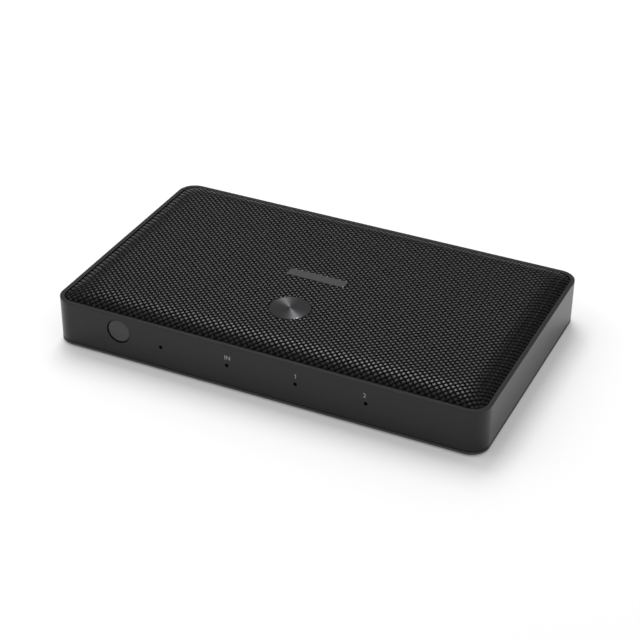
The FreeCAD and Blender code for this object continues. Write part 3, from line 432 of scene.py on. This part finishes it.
def stage():
    """A pale floor that keeps the shadow, a surround that the camera sees as white, and the lamps."""
    made = bpy.data.materials.new("pale_studio_floor")
    made.use_nodes = True
    tree = made.node_tree
    tree.nodes.clear()
    diffuse = node(tree, "BsdfDiffuse", {"Color": linear("e0e0e0")})
    # farther off, where the lamps don't reach, the paper is shown as white as near the object
    away = node(tree, "VectorMath", {0: node(tree, "TexCoord").outputs["Object"]}, operation="LENGTH")
    ends = {"From Min": 0.25, "From Max": 0.9, "To Min": 0.13, "To Max": 0.8}
    rise = node(tree, "MapRange", {"Value": away.outputs["Value"], **ends})
    lift = node(tree, "Math", {0: shown_directly(tree), 1: rise.outputs[0]}, operation="MULTIPLY")
    glow = node(tree, "Emission", {"Color": (1.0, 1.0, 1.0, 1.0), "Strength": lift.outputs[0]})
    both = node(tree, "AddShader", {0: diffuse.outputs[0], 1: glow.outputs[0]})
    # seen from below the floor is clear, so that the cover can be looked at
    below = node(tree, "NewGeometry").outputs["Backfacing"]
    clear = node(tree, "BsdfTransparent")
    surface = node(tree, "MixShader", {0: below, 1: both.outputs[0], 2: clear.outputs[0]})
    node(tree, "OutputMaterial", {"Surface": surface.outputs[0]})
    mesh = bpy.data.meshes.new("floor")
    reach = 4.0
    corners = [(x * reach, y * reach, 0) for x, y in ((-1, -1), (1, -1), (1, 1), (-1, 1))]
    mesh.from_pydata(corners, [], [[0, 1, 2, 3]])
    mesh.materials.append(made)
    floor = bpy.data.objects.new("floor", mesh)
    bpy.context.scene.collection.objects.link(floor)

    world = bpy.data.worlds.new("surround")
    world.use_nodes = True
    tree = world.node_tree
    tree.nodes.clear()
    # mirrored rays see a pale horizon with the dim studio above it
    way = node(tree, "SeparateXYZ", {0: node(tree, "TexCoord").outputs["Generated"]})
    fade = {"From Min": 0.0, "From Max": 0.12, "To Min": 0.3, "To Max": 0.07}
    studio = node(tree, "MapRange", {"Value": way.outputs["Z"], **fade}).outputs[0]
    seen = node(tree, "LightPath").outputs
    lit = node(tree, "MapRange", {"Value": seen["Is Diffuse Ray"], "To Min": studio, "To Max": 0.7})
    level = node(tree, "MapRange", {"Value": seen["Is Camera Ray"], "To Min": lit.outputs[0], "To Max": 1.0})
    white = node(tree, "Background", {"Color": (1.0, 1.0, 1.0, 1.0), "Strength": level.outputs[0]})
    node(tree, "OutputWorld", {"Surface": white.outputs[0]})
    bpy.context.scene.world = world
    bpy.context.scene.view_settings.view_transform = "Standard"
    softbox = lamp("overhead_softbox", (-0.37, 0.56, 1.13), (1.0, 0.0, 0.0), 0.58, 0.82, 9.7)
    panel = lamp("back_panel", (-0.36, 1.03, 0.7), (1.0, 0.0, 0.0), 0.8, 0.34, 0.9)
    # an even fill that no surface mirrors
    lamp("top_fill", (-0.8, -0.15, 1.0), (1.0, 0.0, 0.0), 0.9, 0.9, 2.0).visible_glossy = False
    return floor, softbox, panel


def flag(light, pieces, state, use="receiver_collection"):
    """Keeps a lamp's light to some pieces alone, or keeps it off them, as a flag on a stand does. Where the
    use is the blocker collection, the state says instead which pieces throw a shadow in that light."""
    group = bpy.data.collections.new(f"{light.name}_{use}")
    for number, shown in enumerate(pieces):
        group.objects.link(shown)
        group.collection_objects[number].light_linking.link_state = state
    setattr(light.light_linking, use, group)


def light_metal(softbox, panel, cap, name_plate):
    """The spun button mirrors a narrow strip lamp as a bright line across it, and not the two large lamps."""
    strip = lamp("button_strip", (-0.338, 0.821, 0.952), (0.5265, -0.5265, 0.667), 0.196, 0.011, 2.7)
    flag(strip, [cap], "INCLUDE")
    flag(softbox, [cap], "EXCLUDE")
    flag(panel, [cap, name_plate], "EXCLUDE")


def light_underside(floor, cover):
    """A lamp below the floor, whose light passes it and falls on the cover and its pads alone."""
    pads = [frame["nodes"][f"foot_{end}_{side}"] for end in ("front", "back") for side in ("left", "right")]
    fill = lamp("under_fill", (0.1, -0.25, -0.9), (1.0, 0.0, 0.0), 0.9, 0.9, 4.0)
    flag(fill, [cover, *pads], "INCLUDE")
    flag(fill, [floor], "EXCLUDE", "blocker_collection")


# Case
def frame_shell():
    """The side frame: one profile swept round the case's outline, then cut for button, lamps and sockets."""
    foot = 0.12
    profile = [(foot, FRAME_BOTTOM), (0.0, FRAME_BOTTOM + foot)]
    profile += [(0.0, FRAME_BOTTOM + foot + HOLD), (0.0, RIM_TOP - SOFT_EDGE - HOLD)]
    profile += quarter_round(SOFT_EDGE, RIM_TOP - SOFT_EDGE, SOFT_EDGE, 180)
    profile += quarter_round(WALL - SOFT_EDGE, RIM_TOP - SOFT_EDGE, SOFT_EDGE, 90, 3)
    profile += [(WALL, LEDGE_TOP), (WALL + LEDGE_WIDTH, LEDGE_TOP), (WALL + LEDGE_WIDTH, LEDGE_BOTTOM)]
    profile += [(WALL, LEDGE_BOTTOM), (WALL, FRAME_BOTTOM)]
    rows = rings(case_sections(profile))
    faces = [face[::-1] for face in grid_faces(rows.shape[0], rows.shape[1], close_rows=True)]
    shell = piece("frame_shell", rows.reshape(-1, 3), faces, frame_plastic)
    outside, inside = HALF_DEEP + 1.0, HALF_DEEP - WALL - 0.5
    pinhole = [(PINHOLE_RADIUS, -outside), (PINHOLE_RADIUS, -inside)]
    tools = [turned(pinhole, (x, LAMP_Z), True, 32) for x in PORT_X]
    bore = [(POWER_BORE, -outside), (POWER_BORE, POWER_BORE_END)]
    tools.append(turned(bore, (POWER_X, POWER_Z), True, 72))
    tools.append(turned([(JACK_WINDOW, inside), (JACK_WINDOW, outside)], (PORT_X[0], PORT_Z), True, 64))
    for x in PORT_X[1:]:
        low = (x - WINDOW_HALF, inside, PORT_Z - WINDOW_RISE)
        tools.append(block(low, (x + WINDOW_HALF, outside, PORT_Z + WINDOW_RISE)))
    cut_away(shell, tools)
    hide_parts("side_frame")


def cover_shell():
    """The bottom cover: a tray whose edge shows under the frame, with a row of vents through its floor."""
    chamfer, ease = 0.35, 0.1
    lip, lip_back = WALL + LIP_GAP, WALL + LIP_GAP + LIP_WALL
    profile = [(chamfer + NEAR_HOLD, COVER_BOTTOM), (chamfer, COVER_BOTTOM), (0.0, COVER_BOTTOM + chamfer)]
    profile += [(0.0, EDGE_TOP - ease), (ease, EDGE_TOP), (lip, EDGE_TOP)]
    profile += [(lip, LIP_TOP), (lip_back, LIP_TOP), (lip_back, FLOOR_TOP)]
    rows = rings(case_sections(profile))
    count, columns = rows.shape[:2]
    faces = [face[::-1] for face in grid_faces(count, columns)]
    faces.append(list(range(columns))[::-1])
    faces.append(list(range((count - 1) * columns, count * columns)))
    shell = piece("cover_shell", rows.reshape(-1, 3), faces, cover_plastic)
    vents = []
    for index in range(VENTS):
        middle = VENT_X + VENT_PITCH * (index - (VENTS - 1) / 2)
        low = (middle - VENT_HALF, VENT_FRONT, COVER_BOTTOM - 1)
        vents.append(block(low, (middle + VENT_HALF, VENT_BACK, FLOOR_TOP + 1)))
    cut_away(shell, vents)
    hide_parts("bottom_cover")
    return shell


# Cloth
def rounded_distance(x, y, half_x, half_y, radius):
    """How far points lie outside a rounded rectangle, less than nought inside, and the way outward."""
    over_x, over_y = np.abs(x) - (half_x - radius), np.abs(y) - (half_y - radius)
    out_x, out_y = np.maximum(over_x, 0), np.maximum(over_y, 0)
    reach = np.hypot(out_x, out_y)
    corner = reach > 0
    safe = np.where(corner, reach, 1)
    way_x = np.where(corner, out_x / safe, over_x >= over_y) * np.sign(x)
    way_y = np.where(corner, out_y / safe, over_x < over_y) * np.sign(y)
    distance = reach + np.minimum(np.maximum(over_x, over_y), 0) - radius
    return distance, way_x, way_y


def crown_share(x, y):
    """The share of the roll, from 0 at the cloth's edge to 1 on the flat, of the section that passes through
    each point. It is found by halving: the section drawn in by a share of the roll holds the point or not."""
    low, high = np.zeros_like(x), np.ones_like(x)
    halvings = 22
    for _ in range(halvings):
        share = (low + high) / 2
        draw = ROLL_WIDTH * share
        radius = CLOTH_RADIUS + draw * CORNER_EASE
        holds = rounded_distance(x, y, CLOTH_X - draw, CLOTH_Y - draw, radius)[0] < 0
        low, high = np.where(holds, share, low), np.where(holds, high, share)
    return low


def laid(x, y):
    """Where flat points of the cloth lie on the crown, their normals, and how far past an edge each one is.

    The height is the crown's top less its drop times (1 - share) to its power. A point past the outer edge,
    or in the opening for the button or the nameplate, goes to that edge and as far down from it."""
    share = crown_share(x, y)
    excess, way_x, way_y = rounded_distance(x, y, CLOTH_X, CLOTH_Y, CLOTH_RADIUS)
    height = CROWN_TOP - CROWN_DROP * (1 - share) ** CROWN_POWER
    slope = CROWN_DROP * CROWN_POWER / ROLL_WIDTH * (1 - share) ** (CROWN_POWER - 1)
    normal = np.stack([way_x * slope, way_y * slope, np.ones_like(x)], -1)
    normal /= np.linalg.norm(normal, axis=-1, keepdims=True)

    off_x, off_y = x - SELECT_X, y - SELECT_Y
    away = np.maximum(np.hypot(off_x, off_y), 1e-6)
    bore = (SELECT_BORE - away, -off_x / away, -off_y / away)
    slot_x, slot_y = PLATE_LONG / 2 + PLATE_GAP, PLATE_DEEP / 2 + PLATE_GAP
    plate_x, plate_y = slot_x - np.abs(x - PLATE_X), slot_y - np.abs(y - PLATE_Y)
    nearer = plate_x < plate_y
    plate_ways = -np.where(nearer, np.sign(x - PLATE_X), 0), -np.where(nearer, 0, np.sign(y - PLATE_Y))
    plate = (np.minimum(plate_x, plate_y), *plate_ways)

    past = np.full_like(x, -1.0)
    place = np.stack([x, y, height], -1)
    for over, over_x, over_y in ((excess, way_x, way_y), bore, plate):
        down = np.maximum(over, 0)
        place = place - np.stack([over_x * down, over_y * down, down], -1)
        turn = np.clip((over + EDGE_TURN) / (2 * EDGE_TURN), 0, 1)
        turn = (turn * turn * (3 - 2 * turn))[..., None]
        outward = np.stack([over_x, over_y, np.zeros_like(x)], -1)
        normal = normal * (1 - turn) + outward * turn
        past = np.maximum(past, over)
    normal /= np.linalg.norm(normal, axis=-1, keepdims=True)
    return place, normal, past


def yarns(name, run, step, over, first):
    """Every second thread of one direction. A thread's middle follows the run from crossing to crossing while
    it rises and falls, over one crossing thread and under the next, as a cosine c whose tops are pressed
    flat: its size is 1 - (1 - size of c) to the power of the pressing. What lies too far past the cloth's
    edge or an opening is left out. The crest attribute is 1 on a crest's top and falls with depth."""
    mirrored = [(-across, down) for across, down in YARN_SIDE[::-1]]
    section = np.array([(0.0, 0.0), *YARN_SIDE, (0.0, YARN_THICK), *mirrored])
    sides = len(section)
    lines = np.arange(-YARN_REACH + first, YARN_REACH + 1, 2)
    along = np.arange(-YARN_REACH * YARN_STEPS, YARN_REACH * YARN_STEPS + 1) / YARN_STEPS
    line, run_share, side = np.meshgrid(lines, along, np.arange(sides), indexing="ij")
    cosine = over * np.cos(np.pi * (run_share + line))
    wave = np.sign(cosine) * (1 - (1 - np.abs(cosine)) ** YARN_PRESS)
    across = section[side, 0]
    rise = YARN_WAVE * (wave - 1) - section[side, 1]
    length = np.linalg.norm(run)
    x = run_share * run[0] + line * step[0] - across * run[1] / length
    y = run_share * run[1] + line * step[1] + across * run[0] / length
    place, normal, past = laid(x, y)
    points = (place + normal * rise[..., None]).reshape(-1, 3)
    kept = (past < YARN_TUCK).ravel()

    rows, columns = len(lines), len(along)
    r, c, s = np.meshgrid(np.arange(rows), np.arange(columns - 1), np.arange(sides), indexing="ij")
    r, c, s = r.ravel(), c.ravel(), s.ravel()
    start = (r * columns + c) * sides
    after = (s + 1) % sides
    quads = np.stack([start + s, start + after, start + sides + after, start + sides + s], 1)
    quads = quads[kept[quads].all(1)]
    used, quads = np.unique(quads, return_inverse=True)
    quads = quads.reshape(-1, 4)
    shown = piece(name, points[used], quads.tolist(), yarn)
    smooth(shown, YARN_SHARP_ANGLE)
    crest = shown.data.attributes.new("crest", "FLOAT", "POINT")
    level = rise.ravel()[used] / (YARN_THICK + 2 * YARN_WAVE) + 1
    crest.data.foreach_set("value", level.astype(np.float32))
    return shown


def cloth():
    """The woven top: two sets of threads over a dark backing that covers the lid and, lying just under the
    crest tops, stands as painted shade between the threads.
    """
    for name, run, step, over in (("warp", WARP_STEP, WEFT_STEP, 1), ("weft", WEFT_STEP, WARP_STEP, -1)):
        for first in (0, 1):
            yarns(f"{name}_yarns_{first + 1}", run, step, over, first)
    flat_top = CROWN_TOP - BACKING_DEPTH
    sections = [(WALL + PANEL_GAP + BACKING_DEPTH, CLOTH_RADIUS, LEDGE_TOP)]
    for share in ROLL_SHARES:
        draw = ROLL_WIDTH * share
        inset = WALL + PANEL_GAP + BACKING_DEPTH * (1 - share) + draw
        height = flat_top - CROWN_DROP * (1 - share) ** CROWN_POWER
        sections.append((inset, CLOTH_RADIUS + draw * CORNER_EASE, height))
    rows = list(rings(sections, SIDE_STEPS))
    spokes = rows[-1][:, :2] - (SELECT_X, SELECT_Y)
    spokes /= np.linalg.norm(spokes, axis=1, keepdims=True)
    bore = (SELECT_X, SELECT_Y) + spokes * SELECT_BORE
    for height in (flat_top, CROWN_TOP - BORE_DEPTH):
        rows.append(np.column_stack([bore, np.full(len(bore), height)]))
    rows = np.array(rows)
    faces = [face[::-1] for face in grid_faces(rows.shape[0], rows.shape[1])]
    # the near-black sheet passes through the threads just under their tops, as painted shade between them
    backing = piece("backing_sheet_as_shade", rows.reshape(-1, 3), faces, backing_and_gap_shade)
    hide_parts("top_cloth")


# Buttons, plate and legends
def select_cap():
    """The turned cap: a drum whose rim is a quarter circle, radius times (cos, sin) of its angle."""
    profile = [(SELECT_RADIUS, SELECT_FOOT), (SELECT_RADIUS, SELECT_TOP - SELECT_ROUND - NEAR_HOLD)]
    angle = np.radians(np.linspace(0, 90, 9))
    inner, lower = SELECT_RADIUS - SELECT_ROUND, SELECT_TOP - SELECT_ROUND
    profile += [(inner + SELECT_ROUND * np.cos(a), lower + SELECT_ROUND * np.sin(a)) for a in angle]
    profile += [(inner - NEAR_HOLD, SELECT_TOP), (POLE, SELECT_TOP)]
    points, faces = turned(profile, (SELECT_X, SELECT_Y), steps=128)
    cap = piece("select_cap", points, faces, spun_metal, "select_button")
    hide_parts("select_button_cap")
    return cap


def power_cap():
    """The moulded cap in the front: a disc with a rounded rim, given by three points of its edge."""
    edge, bulge = 0.22, 0.066
    rim = POWER_RADIUS - edge
    profile = [(POLE, POWER_FACE), (rim - NEAR_HOLD, POWER_FACE), (rim, POWER_FACE)]
    profile += [(POWER_RADIUS - bulge, POWER_FACE + bulge), (POWER_RADIUS, POWER_FACE + edge)]
    profile += [(POWER_RADIUS, POWER_FACE + edge + NEAR_HOLD), (POWER_RADIUS, POWER_BACK)]
    points, faces = turned(profile, (POWER_X, POWER_Z), True, 96)
    cap = piece("power_cap", points, faces, button_plastic, "power_button")
    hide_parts("power_button_cap")


def plate():
    """The bare nameplate: a rounded rectangle whose upper edge is softened."""
    half_x, half_y = PLATE_LONG / 2, PLATE_DEEP / 2
    sections = [(0, PLATE_BOTTOM), (0, PLATE_TOP - SOFT_EDGE), (SOFT_EDGE, PLATE_TOP)]
    sections.append((SOFT_EDGE + NEAR_HOLD, PLATE_TOP))
    rows = []
    for draw, height in sections:
        path = outline_path(half_x - draw, half_y - draw, PLATE_RADIUS)
        rows.append(np.column_stack([path + (PLATE_X, PLATE_Y), np.full(len(path), height)]))
    rows = np.array(rows)
    count, columns = rows.shape[:2]
    faces = grid_faces(count, columns)
    faces.append(list(range(columns))[::-1])
    faces.append(list(range((count - 1) * columns, count * columns)))
    shown = piece("blank_plate", rows.reshape(-1, 3), faces, plate_metal)
    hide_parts("nameplate")
    return shown


def legend(text, middle):
    """A printed word or number above a lamp, as thin raised ink."""
    curve = bpy.data.curves.new("legend", "FONT")
    depth, bolder = 0.01, 0.002
    curve.body, curve.extrude, curve.offset = text, depth, bolder
    holder = bpy.data.objects.new("legend", curve)
    bpy.context.scene.collection.objects.link(holder)
    bpy.context.view_layer.update()
    mesh = bpy.data.meshes.new_from_object(holder.evaluated_get(bpy.context.evaluated_depsgraph_get()))
    bpy.data.objects.remove(holder)
    flat = np.zeros(len(mesh.vertices) * 3)
    mesh.vertices.foreach_get("co", flat)
    flat = flat.reshape(-1, 3)
    lowest, highest = flat.min(0), flat.max(0)
    scale = LEGEND_TALL / (highest[1] - lowest[1])
    x = middle + (flat[:, 0] - (lowest[0] + highest[0]) / 2) * scale
    z = LEGEND_LOW + (flat[:, 1] - lowest[1]) * scale
    y = -HALF_DEEP - INK * (flat[:, 2] > 0)
    faces = [list(face.vertices) for face in mesh.polygons]
    piece(f"legend_{text}", np.column_stack([x, y, z]), faces, print_ink, flat=True)


def numeral_one(middle):
    """The 1, an upright stroke with a slanted flag at its top left, given in shares of its height."""
    flag_end = [(-0.34, 0.8), (-0.34, 0.68)]
    outline = np.array([(0.06, 0), (0.06, 1), (-0.06, 1), *flag_end, (-0.06, 0.86), (-0.06, 0)])
    count = len(outline)
    x, z = middle + outline[:, 0] * LEGEND_TALL, LEGEND_LOW + outline[:, 1] * LEGEND_TALL
    points = [np.column_stack([x, np.full(count, -HALF_DEEP - lift), z]) for lift in (0, INK)]
    faces = grid_faces(2, count)
    faces.append(list(range(count, 2 * count))[::-1])
    piece("legend_1", np.concatenate(points), faces, print_ink, flat=True)


# Finishes of the nodes that stay as they are, by material slot
FINISHES = {
    "panel_plastic": panel_plastic,
    "foot_rubber": foot_rubber,
    "screw_steel": screw_steel,
    "board_laminate": board_laminate,
    "shell_steel": shell_steel,
    "insulator_plastic": insulator_plastic,
    "contact_gold": contact_gold,
    "pin_nickel": pin_nickel,
    "lamp_resin": lamp_resin,
    "pipe_acrylic": pipe_acrylic,
    "switch_plastic": switch_plastic,
    "chip_resin": chip_resin,
    "pad_silicone": pad_silicone,
    "sink_metal": sink_metal,
    "can_metal": can_metal,
    "coil_ferrite": coil_ferrite,
    "capacitor_ceramic": capacitor_ceramic,
    "frame_plastic": frame_plastic,
    "cover_plastic": cover_plastic,
    "woven_cloth": backing_and_gap_shade,
    "plate_metal": plate_metal,
    "spun_metal": spun_metal,
    "button_plastic": button_plastic,
}


def finish_nodes():
    """Each node that came with the frame gets the finish of its material slot."""
    for part in frame["record"]["subparts"]:
        dress(frame["nodes"][part["node"]], FINISHES[part["material_slot"]])


camera()
floor, softbox, panel = stage()
finish_nodes()
frame_shell()
light_underside(floor, cover_shell())
cloth()
power_cap()
light_metal(softbox, panel, select_cap(), plate())
legend("IN", LEGEND_X[0])
numeral_one(LEGEND_X[1])
legend("2", LEGEND_X[2])
